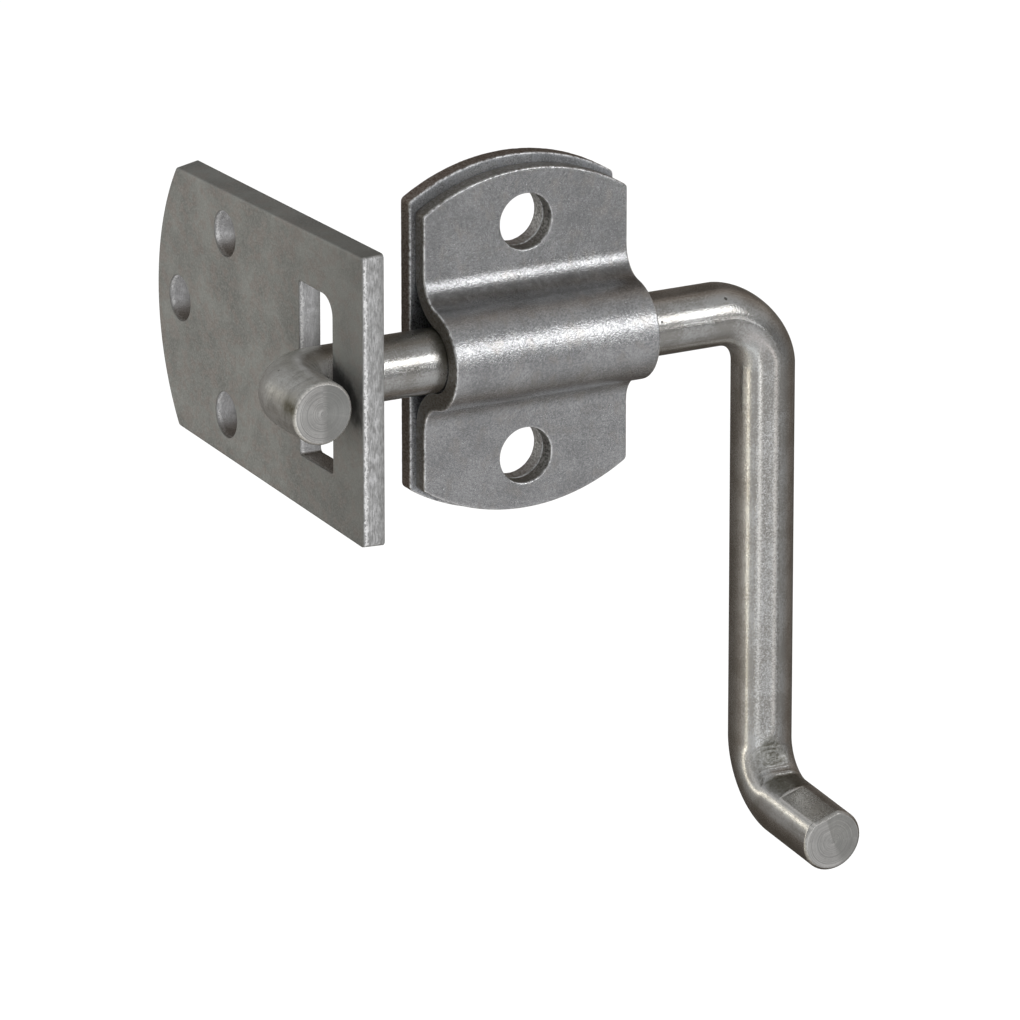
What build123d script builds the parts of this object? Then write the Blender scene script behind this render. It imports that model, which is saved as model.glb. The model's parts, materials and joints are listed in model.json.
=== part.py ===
from build123d import *
from math import cos, radians, sin
import os

# Gate latch: a bent round bar that turns in a formed strap on a backing plate,
# and hooks behind the slotted keeper plate on the post.
# Millimetres. X runs along the bar towards the handle, Y away from the user, Z up.
# The origin is midway between the two bracket bolts, on the back of the backing plate.

# Bar. Each bend is given by its inside radius.
rod_d = 16.0               # round bar stock
hook_reach = 25.2          # bar axis to the cut face of the hook
hook_x = -71.2             # middle of the hook's arm
hook_bend_in = 2.5
handle_x = 64.5            # middle of the handle's arm
handle_bend_in = 6.0
handle_drop = 126.0        # bar axis down to the corner of the grip
grip_reach = 36.9          # bar axis out to the cut face of the grip
grip_droop = 3.1           # the grip's end lies this much below its corner
grip_bend_in = 6.5
cut_chamfer = 0.7          # broken edge of each sawn end

# Marks that the bending tool left on the handle and grip
tool_turn = 19.0           # degrees from straight out, towards the keeper
handle_press = 0.25        # depth of the long flat down the handle
handle_flat_head = 8.0     # the flat starts this far below the shaft's axis
handle_flat_foot = 14.7    # and stops this far above the corner of the grip
pin_press = 0.6            # depth of the land round the inside of the grip's bend
grip_press = 0.85          # depth of the flat along the grip
grip_flat_start = 19.8     # handle's middle to the step where the grip's flat starts
tool_overlap = 0.5         # each cutter reaches this much past the bar

# Strap that holds the bar
sheet_t = 4.6              # strap and backing plate are cut from one sheet
strap_w = 56.6
end_arc_r = 52.0           # arched top and bottom of both plates
corner_r = 1.6
rod_clearance = 0.3        # bar to the inside of the strap's bulge
back_clearance = 0.8       # bar to the front of the backing plate

# Bolts through strap and backing plate
bolt_spacing = 60.0
bolt_hole_d = 14.2
bolt_land = 6.5            # metal between each bolt hole and the strap's end

# Backing plate: as wide as the strap, but set this much nearer the keeper and taller at both ends
backing_shift = 1.5
backing_rim_top = 2.6
backing_rim_foot = 0.5

# Keeper plate on the post
keeper_t = 6.0
keeper_rise = 0.5          # its middle sits this much above the bar's axis
keeper_far = 74.5          # bar axis to the two far corners
keeper_arc_rise = 10.8     # the far end bows out this much past its corners
keeper_taper = 2.3         # each far corner stands this much nearer the middle than the near one
keeper_corner_r = 1.2
hook_gap = 3.0             # free play between the hook and the keeper
slot_clearance = 0.8       # bar to each long side of the slot
slot_land = 15.6           # metal between the slot and the near edge
slot_play = 11.3           # height left over when the upright hook is in the slot
slot_corner_r = 1.0
slot_relief_r = 5.0        # the slot's upper near corner is rounder than the other three
post_hole_d = 11.5
post_hole_spacing = 46.6   # upper to lower hole
post_hole_land = 6.2       # metal between those two and the edges beside them
post_hole_step = 24.9      # from their row on to the third hole
post_tip_land = 6.4        # metal between the third hole and the tip of the arch

# Places that follow from the sizes above
rod_r = rod_d / 2
bulge_in_r = rod_r + rod_clearance
bulge_out_r = bulge_in_r + sheet_t
strap_front = rod_r + back_clearance - sheet_t    # flats' front face, from the bar axis
foot_bend_r = strap_front                         # hollow side of the bend from bulge to flat
rod_y = -(strap_front + 2 * sheet_t)              # bar axis, from the mounting face
foot_z = bulge_out_r + foot_bend_r                # height where each foot turns flat
strap_h = bolt_spacing + bolt_hole_d + 2 * bolt_land
backing_h = strap_h + backing_rim_top + backing_rim_foot
backing_rise = (backing_rim_top - backing_rim_foot) / 2
keeper_x = hook_x + rod_r + hook_gap              # the keeper's face on the hook's side
slot_w = rod_d + 2 * slot_clearance
slot_h = hook_reach + rod_r + slot_play
keeper_near = slot_w / 2 + slot_land              # bar axis to the straight near edge
post_hole_far = keeper_far + keeper_arc_rise - post_tip_land - post_hole_d / 2
post_hole_row = post_hole_far - post_hole_step
row_taper = keeper_taper * (post_hole_row + keeper_near) / (keeper_far + keeper_near)
keeper_h = post_hole_spacing + post_hole_d + 2 * (post_hole_land + row_taper)


def across_bar(x):
    """Plane square to the bar at x: its origin on the bar's axis, Y away from the user, Z up."""
    return Plane(origin=(x, rod_y, 0), x_dir=(0, 1, 0), z_dir=(1, 0, 0))


def flat_width(depth):
    """Width of a flat of this depth on the round bar."""
    return 2 * (rod_r ** 2 - (rod_r - depth) ** 2) ** 0.5


def arched_outline(width, height, arc_r, round_r):
    """Plate outline with upright sides and a shallow arc at the top and bottom."""
    half = width / 2
    corner = height / 2 - (arc_r - (arc_r ** 2 - half ** 2) ** 0.5)
    with BuildSketch() as outline:
        with BuildLine():
            ThreePointArc((-half, corner), (0, height / 2), (half, corner))
            Line((half, corner), (half, -corner))
            ThreePointArc((half, -corner), (0, -height / 2), (-half, -corner))
            Line((-half, -corner), (-half, corner))
        make_face()
        fillet(outline.vertices(), radius=round_r)
    return outline.sketch


def keeper_slot():
    """Tall slot round the bar, seen from the hook's side."""
    with BuildSketch() as slot:
        Rectangle(slot_w, slot_h)
        relief = slot.vertices().group_by(Axis.Y)[-1].sort_by(Axis.X)[0]
        fillet(relief, radius=slot_relief_r)
        lower = slot.vertices().group_by(Axis.Y)[0]
        far_upper = slot.vertices().group_by(Axis.Y)[-1].sort_by(Axis.X)[-1]
        fillet([*lower, far_upper], radius=slot_corner_r)
    return slot.sketch


def keeper_outline():
    """Keeper seen from the hook's side: near edge to the left, narrower arched far end, slot, holes."""
    half = keeper_h / 2
    far_half = half - keeper_taper
    with BuildSketch() as outline:
        with BuildLine():
            Polyline((keeper_far, far_half), (-keeper_near, half), (-keeper_near, -half), (keeper_far, -far_half))
            ThreePointArc((keeper_far, -far_half), (keeper_far + keeper_arc_rise, 0), (keeper_far, far_half))
        make_face()
        fillet(outline.vertices(), radius=keeper_corner_r)
        add(keeper_slot(), mode=Mode.SUBTRACT)
        with Locations(
            (post_hole_row, post_hole_spacing / 2),
            (post_hole_row, -post_hole_spacing / 2),
            (post_hole_far, 0),
        ):
            Circle(post_hole_d / 2, mode=Mode.SUBTRACT)
    return outline.sketch


# Backing plate: flat, against the gate
with BuildPart() as backing_plate:
    with BuildSketch(Plane.XZ):
        with Locations((-backing_shift, backing_rise)):
            add(arched_outline(strap_w, backing_h, end_arc_r, corner_r))
        with GridLocations(0, bolt_spacing, 1, 2):
            Circle(bolt_hole_d / 2, mode=Mode.SUBTRACT)
    extrude(amount=sheet_t)
backing_plate.part.label = "backing_plate"

# Strap: one sheet pressed round the bar, with a flat foot above and below
with BuildPart() as strap:
    with BuildSketch(across_bar(-strap_w / 2)):
        with BuildLine():
            Line((strap_front, strap_h / 2), (strap_front, foot_z))
            CenterArc((0, foot_z), foot_bend_r, 0, -90)
            CenterArc((0, 0), bulge_out_r, 90, 180)
            CenterArc((0, -foot_z), foot_bend_r, 90, -90)
            Line((strap_front, -foot_z), (strap_front, -strap_h / 2))
            offset(amount=sheet_t, side=Side.LEFT)
        make_face()
    extrude(amount=strap_w)
    with BuildSketch(Plane.XZ):
        add(arched_outline(strap_w, strap_h, end_arc_r, corner_r))
        with GridLocations(0, bolt_spacing, 1, 2):
            Circle(bolt_hole_d / 2, mode=Mode.SUBTRACT)
    extrude(amount=bulge_out_r - rod_y + sheet_t, mode=Mode.INTERSECT)
strap.part.label = "strap"

# Bar: hook, shaft, handle and grip bent from one piece
with BuildPart() as latch_rod:
    with BuildLine() as bar_axis:
        FilletPolyline(
            (hook_x, rod_y - hook_reach, 0),
            (hook_x, rod_y, 0),
            (handle_x, rod_y, 0),
            (handle_x, rod_y, -handle_drop),
            (handle_x, rod_y - grip_reach, -handle_drop - grip_droop),
            radius=[rod_r + hook_bend_in, rod_r + handle_bend_in, rod_r + grip_bend_in],
        )
    with BuildSketch(Plane(bar_axis.line @ 0, z_dir=bar_axis.line % 0)):
        Circle(rod_r)
    sweep(path=bar_axis.line)
    cut_faces = faces().filter_by(GeomType.PLANE)
    chamfer(cut_faces.edges(), length=cut_chamfer)

    # Long flat down the handle, with round ends
    flat_foot = handle_drop - handle_flat_foot
    handle_out = Vector(-sin(radians(tool_turn)), -cos(radians(tool_turn)), 0)
    handle_plane = Plane(origin=(handle_x, rod_y, -handle_flat_head), x_dir=(0, 0, -1), z_dir=handle_out)
    with BuildSketch(handle_plane.offset(rod_r - handle_press)):
        with Locations(((flat_foot - handle_flat_head) / 2, 0)):
            SlotOverall(flat_foot - handle_flat_head, flat_width(handle_press) + tool_overlap)
    extrude(amount=handle_press + tool_overlap, mode=Mode.SUBTRACT)

    # Land where the inside of the grip's bend lay on the bending pin
    grip_bend = bar_axis.edges().filter_by(GeomType.CIRCLE).sort_by(Axis.Z)[0]
    pin = Plane(origin=grip_bend.arc_center, z_dir=(1, 0, 0))
    with BuildSketch(pin):
        Circle(grip_bend_in + pin_press)
    extrude(amount=rod_r, both=True, mode=Mode.SUBTRACT)

    # Flat along the grip, from its step out to the cut face
    grip_way = bar_axis.line % 1
    grip_side = Vector(1, 0, 0)
    grip_out = grip_way.cross(grip_side) * cos(radians(tool_turn)) - grip_side * sin(radians(tool_turn))
    grip_plane = Plane(origin=(handle_x, rod_y, -handle_drop), x_dir=grip_way, z_dir=grip_out)
    with BuildSketch(grip_plane.offset(rod_r - grip_press)):
        with Locations((grip_flat_start, 0)):
            Rectangle(grip_reach, rod_d, align=(Align.MIN, Align.CENTER))
    extrude(amount=grip_press + tool_overlap, mode=Mode.SUBTRACT)
latch_rod.part.label = "latch_rod"

# Keeper plate: slotted at the near end for the bar, bolted to the post at the far end
with BuildPart() as keeper_plate:
    with BuildSketch(across_bar(keeper_x)):
        with Locations((0, keeper_rise)):
            add(keeper_outline())
    extrude(amount=keeper_t)
keeper_plate.part.label = "keeper_plate"

os.makedirs("parts", exist_ok=True)
for name, piece in [
    ("backing_plate", backing_plate),
    ("strap", strap),
    ("latch_rod", latch_rod),
    ("keeper_plate", keeper_plate),
]:
    export_step(piece.part, f"parts/{name}.step")
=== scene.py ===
import json
from functools import partial
from math import acos, atan2, ceil, cos, exp, pi, radians, sin, sqrt, tan

import bpy
import numpy as np
from bpy.props import FloatProperty, FloatVectorProperty, PointerProperty
from bpy.types import Operator, Panel, PropertyGroup
from mathutils import Matrix, Quaternion, Vector, geometry, noise


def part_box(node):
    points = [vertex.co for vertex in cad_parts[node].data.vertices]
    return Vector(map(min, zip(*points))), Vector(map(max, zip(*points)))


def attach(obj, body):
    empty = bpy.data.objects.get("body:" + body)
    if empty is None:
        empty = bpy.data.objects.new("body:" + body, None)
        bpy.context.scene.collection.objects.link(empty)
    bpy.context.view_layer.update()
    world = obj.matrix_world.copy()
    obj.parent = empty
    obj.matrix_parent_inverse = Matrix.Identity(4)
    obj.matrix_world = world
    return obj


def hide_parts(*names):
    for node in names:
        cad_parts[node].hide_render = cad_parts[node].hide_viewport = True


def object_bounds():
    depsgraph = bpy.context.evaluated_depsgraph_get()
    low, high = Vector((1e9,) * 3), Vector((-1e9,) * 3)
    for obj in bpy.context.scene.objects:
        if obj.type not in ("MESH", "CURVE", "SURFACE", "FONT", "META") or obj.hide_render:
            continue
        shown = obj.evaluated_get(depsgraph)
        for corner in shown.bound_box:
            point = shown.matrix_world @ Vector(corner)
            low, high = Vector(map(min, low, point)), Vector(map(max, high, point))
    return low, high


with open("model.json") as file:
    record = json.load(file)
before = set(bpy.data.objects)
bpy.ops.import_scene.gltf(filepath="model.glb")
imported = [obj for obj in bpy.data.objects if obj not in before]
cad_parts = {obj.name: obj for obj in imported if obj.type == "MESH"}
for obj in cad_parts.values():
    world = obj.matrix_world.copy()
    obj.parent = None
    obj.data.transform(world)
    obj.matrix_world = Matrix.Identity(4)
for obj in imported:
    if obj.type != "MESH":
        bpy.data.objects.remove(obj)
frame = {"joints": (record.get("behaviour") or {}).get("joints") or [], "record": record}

# Visible steel of a gate latch: backing plate, strap, bent bar and slotted keeper.
# Metres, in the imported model's frame: X along the bar towards the handle, Y away from the user, Z up.

bl_info = {
    "name": "Gate latch",
    "version": (1, 0, 0),
    "blender": (4, 5, 0),
    "location": "3D View > Sidebar > Latch",
    "description": "Builds the visible steel of a gate latch round its packed model",
    "category": "Object",
}

MM = 0.001
cad_low, cad_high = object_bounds()
mounts = {mount["name"]: mount for mount in frame["record"]["mounts"]}
bar_y = frame["joints"][0]["pos_m"][1]
bar_low, bar_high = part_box("latch_rod")
strap_low, strap_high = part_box("strap")
backing_low, backing_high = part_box("backing_plate")
keeper_low, keeper_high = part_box("keeper_plate")
sheet_thickness = backing_high.y - backing_low.y
bracket_bolts = mounts["bracket_bolts"]["dims"]
keeper_bolts = mounts["keeper_bolts"]["dims"]


# Settings that a user may change

def length(name, note, default):
    return FloatProperty(name=name, description=note, default=default, min=0, precision=5,
                         unit="LENGTH", subtype="DISTANCE")


def tone(name, note, default):
    return FloatVectorProperty(name=name, description=note, default=default, size=3, min=0, max=1,
                               subtype="COLOR")


def turn(name, note, default):
    return FloatProperty(name=name, description=note, default=radians(default), unit="ROTATION",
                         subtype="ANGLE")


def glow(name, note, default):
    return FloatProperty(name=name, description=note, default=default, min=0)


class BarSettings(PropertyGroup):
    radius: length("Radius", "Radius of the round bar", round(bar_high.z, 4))
    hook_bend: length("Hook bend", "Inside radius of the hook's bend", 2.5 * MM)
    handle_bend: length("Handle bend", "Inside radius of the bend from shaft to handle", 6 * MM)
    grip_bend: length("Grip bend", "Inside radius of the grip's bend", 6.5 * MM)
    hook_reach: length("Hook reach", "Bar axis to the cut face of the hook", 25.2 * MM)
    handle_drop: length("Handle drop", "Bar axis down to the corner of the grip", 126 * MM)
    grip_reach: length("Grip reach", "Bar axis out to the cut face of the grip", 36.9 * MM)
    grip_droop: length("Grip droop", "Fall of the grip from its corner to its end", 3.1 * MM)
    chamfer: length("Chamfer", "Broken edge of each sawn end", 0.7 * MM)
    hook_thinning: length("Hook thinning", "Metal drawn off the outside of the hook's bend", 0.35 * MM)
    handle_thinning: length("Handle thinning", "Metal drawn off the outside of the handle's bend", 1.35 * MM)
    grip_thinning: length("Grip thinning", "Metal drawn off the outside of the grip's bend", 0.7 * MM)
    press_turn: turn("Press turn", "How far the pressed flats face towards the keeper", 19)
    handle_press: length("Handle press", "Depth of the long flat down the handle", 0.25 * MM)
    handle_press_head: length("Flat head", "The long flat starts this far below the shaft's axis", 3.5 * MM)
    handle_press_foot: length("Flat foot", "The long flat stops this far above the grip's corner", 14.7 * MM)
    pin_press: length("Pin press", "Depth of the land inside the grip's bend", 0.6 * MM)
    grip_press: length("Grip press", "Depth of the flat along the grip", 0.85 * MM)
    grip_step: length("Grip step", "Handle's middle to the step where the grip's flat starts", 19.8 * MM)
    # The bright edge lines beside the flats are painted highlights
    edge_width: length("Edge width", "Half width of the bright worn edges beside the flats", 0.5 * MM)
    pin_middle: turn("Pin middle", "Where round the bar the bending pin's marks are centred", 98)
    pit_depth: length("Pit depth", "Relief of the rough patch that the bending pin left", 0.2 * MM)
    bright: tone("Bright steel", "Worn bright parts of the bar", (0.68, 0.68, 0.67))
    dull: tone("Dull steel", "Duller parts of the bar", (0.50, 0.485, 0.46))
    tarnish: tone("Tarnish", "Brown film left by heat and handling", (0.12, 0.11, 0.075))


class StrapSettings(PropertyGroup):
    end_arc: length("End arc", "Radius of the arched ends", 52 * MM)
    corner: length("Corner", "Radius of the four corners", 1.6 * MM)
    foot_bend: length("Foot bend", "Hollow radius of the bends from the bulge to the flats", 7.5 * MM)
    bright: tone("Bright steel", "Lighter parts of the strap's satin face", (0.64, 0.645, 0.655))
    dull: tone("Dull steel", "Darker parts of the strap's satin face", (0.42, 0.425, 0.435))
    patches: tone("Patches", "Faint warm patches of the strap's face", (0.52, 0.50, 0.48))
    wall: tone("Wall", "Grey metal of the sheared walls", (0.27, 0.26, 0.24))
    tarnish: tone("Tarnish", "Brown film on the sheared walls", (0.12, 0.10, 0.08))


class BackingSettings(PropertyGroup):
    bright: tone("Bright steel", "Lighter parts of the backing plate's face", (0.66, 0.68, 0.71))
    # Darker than the strap's dull tone: painted shade where the strap shadows the backing plate
    dull: tone("Dull steel", "Darker parts of the backing plate's face", (0.33, 0.345, 0.37))
    patches: tone("Patches", "Faint cool patches of the backing plate's face", (0.50, 0.53, 0.57))
    wall: tone("Wall", "Grey metal of the sheared walls", (0.30, 0.27, 0.24))
    tarnish: tone("Tarnish", "Brown film on the sheared walls", (0.13, 0.09, 0.07))


class KeeperSettings(PropertyGroup):
    far: length("Far corners", "Bar axis to the two far corners", 74.5 * MM)
    taper: length("Taper", "Each far corner stands this much nearer the middle than the near one", 2.3 * MM)
    face_taper: length("Face taper", "The same on the face towards the hook", 3.2 * MM)
    face_trim: length("Face trim", "The hook's face is this much smaller at its near corners", 0.3 * MM)
    corner: length("Corner", "Radius of the four corners", 1.2 * MM)
    slot_width: length("Slot width", "Width of the bar's slot", 17.6 * MM)
    slot_height: length("Slot height", "Height of the bar's slot", 44.5 * MM)
    slot_corner: length("Slot corner", "Radius of three of the slot's corners", 1 * MM)
    slot_relief: length("Slot relief", "Radius of the slot's upper near corner", 5 * MM)
    bright: tone("Bright steel", "Lighter parts of the mill plate", (0.38, 0.39, 0.37))
    dull: tone("Dull steel", "Darker parts of the mill plate", (0.28, 0.285, 0.27))
    brown: tone("Brown steel", "Faint brownish blotches of the mill plate", (0.36, 0.315, 0.29))
    # Middle of a painted shadow that the hook casts on the plate
    hook_shadow_at: FloatVectorProperty(name="Painted shadow place", description="Middle of the painted shadow that the hook casts on the plate",
                                   default=(-60.2 * MM, -27 * MM, 1 * MM), size=3, precision=5,
                                   subtype="XYZ", unit="LENGTH")
    sheared: tone("Sheared steel", "Torn bright metal of the cut edges", (0.64, 0.64, 0.645))


class StageSettings(PropertyGroup):
    floor: tone("Floor", "Colour of the pale floor", (0.95, 0.95, 0.95))
    key: glow("Key light", "Brightness of the large soft light, in W per square metre and steradian", 2.6)
    strip: glow("Strip light", "Brightness of the slanted strip light", 1.3)
    rear: glow("Rear strip", "Brightness of the strip light behind the latch's left side", 2.8)
    bend: glow("Bend strip", "Brightness of the small strip light seen in the handle's bend", 3.6)
    room: glow("Room light", "Brightness of the room in the steel", 1.0)


# Outlines. A rim is a closed run of points (u, v) with the direction (nu, nv) that leaves the metal.
# Outer rims run anticlockwise and holes clockwise.

def arc(centre, radius, start, end, count, after=0):
    """One arc of a rim, and how many points the straight after it has."""
    return centre, radius, start, end, count, after


def rim(arcs, levels=()):
    """Joins tangent arcs with straights. Upright straights take their points from levels, if given."""
    points = []
    for index, ((cu, cv), radius, start, end, count, after) in enumerate(arcs):
        side = 1 if end > start else -1
        for step in range(count + 1):
            angle = start + (end - start) * step / count
            points.append((cu + radius * cos(angle), cv + radius * sin(angle),
                           side * cos(angle), side * sin(angle)))
        if not after and len(arcs) > 1:
            points.pop()
            continue
        (nu, nv), radius_on, start_on, *_ = arcs[(index + 1) % len(arcs)]
        u, v, normal_u, normal_v = points[-1]
        far_u, far_v = nu + radius_on * cos(start_on), nv + radius_on * sin(start_on)
        if len(levels) and abs(normal_v) < 1e-6 and abs(far_v - v) > 20 * MM:
            inside = [level for level in levels if min(v, far_v) < level < max(v, far_v)]
            for level in sorted(inside, reverse=far_v < v):
                points.append((u, level, normal_u, normal_v))
            continue
        for step in range(1, after):
            part = step / after
            points.append((u + (far_u - u) * part, v + (far_v - v) * part, normal_u, normal_v))
    return points


def round_hole(centre, radius, count=96):
    """A round hole's rim."""
    return rim([arc(centre, radius, 0, -2 * pi * (count - 1) / count, count - 1)])


def bolt_holes(pattern, across=0, shift=0):
    """The two holes of a bolt pattern, one above the other. shift moves both outwards."""
    up = pattern["spacing_y_mm"] / 2 * MM + shift
    return [round_hole((across, side * up), pattern["hole_r_mm"] * MM) for side in (1, -1)]


def arched_rim(width, top, bottom, arc_radius, corner, shift=0, middle=0, levels=()):
    """Upright sides with a shallow arc at the top and bottom. shift moves both ends out by the length that
    a developed sheet gains in its bends."""
    across = width / 2 - corner
    up = sqrt((arc_radius - corner) ** 2 - across ** 2)
    lean = atan2(up, across)
    high, low = top - arc_radius + shift, bottom + arc_radius - shift
    return rim([
        arc((middle + across, high + up), corner, 0, lean, 10),
        arc((middle, high), arc_radius, lean, pi - lean, 90),
        arc((middle - across, high + up), corner, pi - lean, pi, 10, 120),
        arc((middle - across, low - up), corner, pi, pi + lean, 10),
        arc((middle, low), arc_radius, pi + lean, 2 * pi - lean, 90),
        arc((middle + across, low - up), corner, 2 * pi - lean, 2 * pi, 10, 120),
    ], levels)


def keeper_rim(near, far, tip, half, far_half, corner):
    """Keeper's outline from the bar's axis: straight near edge, slanted sides, arched far end."""
    reach = near + far
    slant = Vector((reach, half - far_half)).normalized()
    side_u, side_v = slant.y, -slant.x
    squeeze = corner / (1 - side_u)
    near_u, near_v = -near + squeeze * (1 - side_u), -half - squeeze * side_v
    rise = tip - far
    arch = (far_half ** 2 + rise ** 2) / (2 * rise)
    arch_u = tip - arch
    start = Vector((-near, -half)) - corner * Vector((side_u, side_v)) - Vector((arch_u, 0))
    along = start.dot(slant)
    run = -along + sqrt(along ** 2 - start.length_squared + (arch - corner) ** 2)
    far_u, far_v = start + slant * run + Vector((arch_u, 0))
    side = atan2(side_v, side_u)
    lean = atan2(far_v, far_u - arch_u)
    return rim([
        arc((near_u, near_v), corner, -pi, side, 10, 190),
        arc((far_u, far_v), corner, side, lean, 10),
        arc((arch_u, 0), arch, lean, -lean, 120),
        arc((far_u, -far_v), corner, -lean, -side, 10, 190),
        arc((near_u, -near_v), corner, -side, pi, 10, 140),
    ])


def slot_rim(width, height, corner, relief):
    """Tall slot; its upper corner on the low-u side is rounder."""
    right, high = width / 2, height / 2
    return rim([
        arc((right - corner, high - corner), corner, pi / 2, 0, 8, 80),
        arc((right - corner, corner - high), corner, 0, -pi / 2, 8, 24),
        arc((corner - right, corner - high), corner, -pi / 2, -pi, 8, 72),
        arc((relief - right, high - relief), relief, pi, pi / 2, 16, 16),
    ])


def edge_profile(thickness, front, back, walls=8):
    """Rings of a rim through the plate: how far in from the rim, how deep, and arris and cut shares.
    front and back are the radii of the two rounded arrises."""
    def rounded(radius, face, inwards):
        """Two rings on a face of the plate, and four round the arris to the wall."""
        rings = [(radius + 0.45 * MM, face, 0, 0), (radius + 0.05 * MM, face, 0.15, 0)]
        for step in range(1, 5):
            lean = pi / 2 * step / 4
            rings.append((radius * (1 - sin(lean)), face + inwards * radius * (1 - cos(lean)),
                          sin(2 * lean) * 0.7 + 0.3, step / 4))
        return rings

    wall = [(0, front + (thickness - front - back) * step / walls, 0, 1) for step in range(1, walls)]
    return rounded(front, 0, 1) + wall + rounded(back, thickness, -1)[::-1]


# Meshes

PLATE_MARKS = ("arris", "cut", "plain", "through", "grime", "hole", "stain")
BAR_MARKS = ("arris", "scuffed", "film", "creased", "smooth")


def within(spots, loops):
    """Which spots lie in the metal between the loops."""
    across, up = spots[:, 0], spots[:, 1]
    odd = np.zeros(len(spots), bool)
    for loop in loops:
        corners = np.array(loop)
        for (u0, v0), (u1, v1) in zip(corners, np.roll(corners, -1, 0)):
            if v0 == v1:
                continue
            level = (v0 > up) != (v1 > up)
            odd ^= level & (across < (u1 - u0) * (up - v0) / (v1 - v0) + u0)
    return odd


def lattice(loops, across, rows):
    """Points on a grid that lie in the metal and well clear of every rim."""
    spots = np.array([(u, v) for v in rows for u in across])
    spots = spots[within(spots, loops)]
    edge = np.concatenate([np.array(loop) for loop in loops])
    gap = np.sqrt(((spots[:, None, :] - edge[None, :, :]) ** 2).sum(2).min(1))
    return [tuple(spot) for spot in spots[gap > 0.7 * MM]]


def fill(loops, inner, rows=()):
    """Triangles between the outer loop and the holes, through the inner points, with rows kept as edges."""
    spots = [tuple(point) for loop in loops for point in loop] + [tuple(point) for point in inner]
    edges, start = [], 0
    for loop in loops:
        edges += [(start + i, start + (i + 1) % len(loop)) for i in range(len(loop))]
        start += len(loop)
    heights = np.array([v for _, v in spots])
    for level in rows:
        row = sorted(np.nonzero(np.abs(heights - level) < 1e-7)[0], key=lambda i: spots[i][0])
        edges += [(int(a), int(b)) for a, b in zip(row, row[1:])]
    scaled = [Vector((u / MM, v / MM)) for u, v in spots]
    _, _, faces, origin, _, _ = geometry.delaunay_2d_cdt(scaled, edges, [], 0, 1e-6)
    index = [old[0] for old in origin]
    faces = [[index[i] for i in face] for face in faces]
    centres = np.array([np.mean([spots[i] for i in face], 0) for face in faces])
    kept = []
    for face, good in zip(faces, within(centres, loops)):
        if not good:
            continue
        (u0, v0), (u1, v1), (u2, v2) = (spots[i] for i in face)
        area = (u1 - u0) * (v2 - v0) - (u2 - u0) * (v1 - v0)
        if abs(area) > 1e-14:
            kept.append(face if area > 0 else face[::-1])
    return kept


def new_mesh(name, points, faces, marks):
    """Smooth mesh with its marks as shares at each point."""
    mesh = bpy.data.meshes.new(name)
    mesh.from_pydata(points, [], faces)
    mesh.update()
    mesh.shade_smooth()
    for mark, shares in marks.items():
        mesh.attributes.new(mark, "FLOAT", "POINT").data.foreach_set("value", shares)
    return mesh


def plate_mesh(name, rims, profile, thickness, across, rows, place, bite, bend_rows=(), plain_sides=False,
               stain=lambda v: 0):
    """Closed plate. rims hold (front points, back points); place puts a flat point (u, v, depth) in space and
    gives its three directions; bite says how far the shears tore in at a wall point, and the last function
    how much painted shade lies on the sheet at v. With plain_sides, only the outline's near edge and the
    holes are torn."""
    points, faces, starts, outward = [], [], [], {}
    marks = {mark: [] for mark in PLATE_MARKS}

    def add_point(u, v, depth, **shares):
        points.append((u, v, depth))
        for mark, values in marks.items():
            values.append(shares.get(mark, 0.0))
        return len(points) - 1

    for number, (front_rim, back_rim) in enumerate(rims):
        count, hole = len(front_rim), min(number, 1)
        starts.append(len(points))
        for inset, depth, arris, cut in profile:
            part = depth / thickness
            for near_point, far_point in zip(front_rim, back_rim):
                u, v, nu, nv = ((1 - part) * a + part * b for a, b in zip(near_point, far_point))
                ragged = soft_step(0.3, 0.9, -nu) if plain_sides and not hole else 1
                inward = inset + bite(u, v, depth) * cut * (0.2 + 0.8 * ragged)
                if depth < thickness / 2:
                    inward += inset * (0.3 * (1 - ragged) - (0.6 if plain_sides else 0.2) * hole)
                add_point(u - nu * inward, v - nv * inward, depth, arris=arris * ragged, cut=cut * ragged,
                          plain=cut * (1 - ragged), through=part, hole=cut * hole, stain=stain(v),
                          grime=soft_step(0.2, 0.95, nv) * cut * hole)
        for a in range(starts[-1], len(points) - count, count):
            faces += [(a + i, a + (i + 1) % count, a + count + (i + 1) % count, a + count + i)
                      for i in range(count)]
    for depth, ring, side in ((0, 0, -1), (thickness, len(profile) - 1, 1)):
        runs = [range(start + ring * len(rim_points), start + (ring + 1) * len(rim_points))
                for start, (rim_points, _) in zip(starts, rims)]
        numbers = [number for run in runs for number in run]
        loops = [[points[number][:2] for number in run] for run in runs]
        inner = lattice(loops, across, rows)
        numbers += [add_point(u, v, depth, through=float(depth > 0), stain=stain(v)) for u, v in inner]
        faces += [tuple(numbers[i] for i in face[::side]) for face in fill(loops, inner, bend_rows)]
        outward.update(dict.fromkeys(numbers, side))
    placed = [place(*point) for point in points]
    mesh = new_mesh(name, [spot for spot, _ in placed], faces, marks)
    mesh.normals_split_custom_set_from_vertices([
        tuple(placed[number][1].col[2] * outward[number] if number in outward else normal.vector)
        for number, normal in enumerate(mesh.vertex_normals)])
    return mesh


def spread(low, high, step):
    """Evenly spaced numbers from low to high, no further apart than step."""
    count = max(1, ceil((high - low) / step))
    return [low + (high - low) * i / count for i in range(count + 1)]


def soft_step(low, high, value):
    """0 below low and 1 above high, with a smooth rise between them."""
    part = min(1, max(0, (value - low) / (high - low)))
    return part * part * (3 - 2 * part)


def between(value, low, full_from, full_to, high):
    """1 in the middle of a range, with a soft rise before it and a soft fall after it."""
    return soft_step(low, full_from, value) * (1 - soft_step(full_to, high, value))


def fade(distance, width):
    """1 at no distance, and gone a little past the width on either side."""
    return exp(-(distance / width) ** 2)


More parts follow.
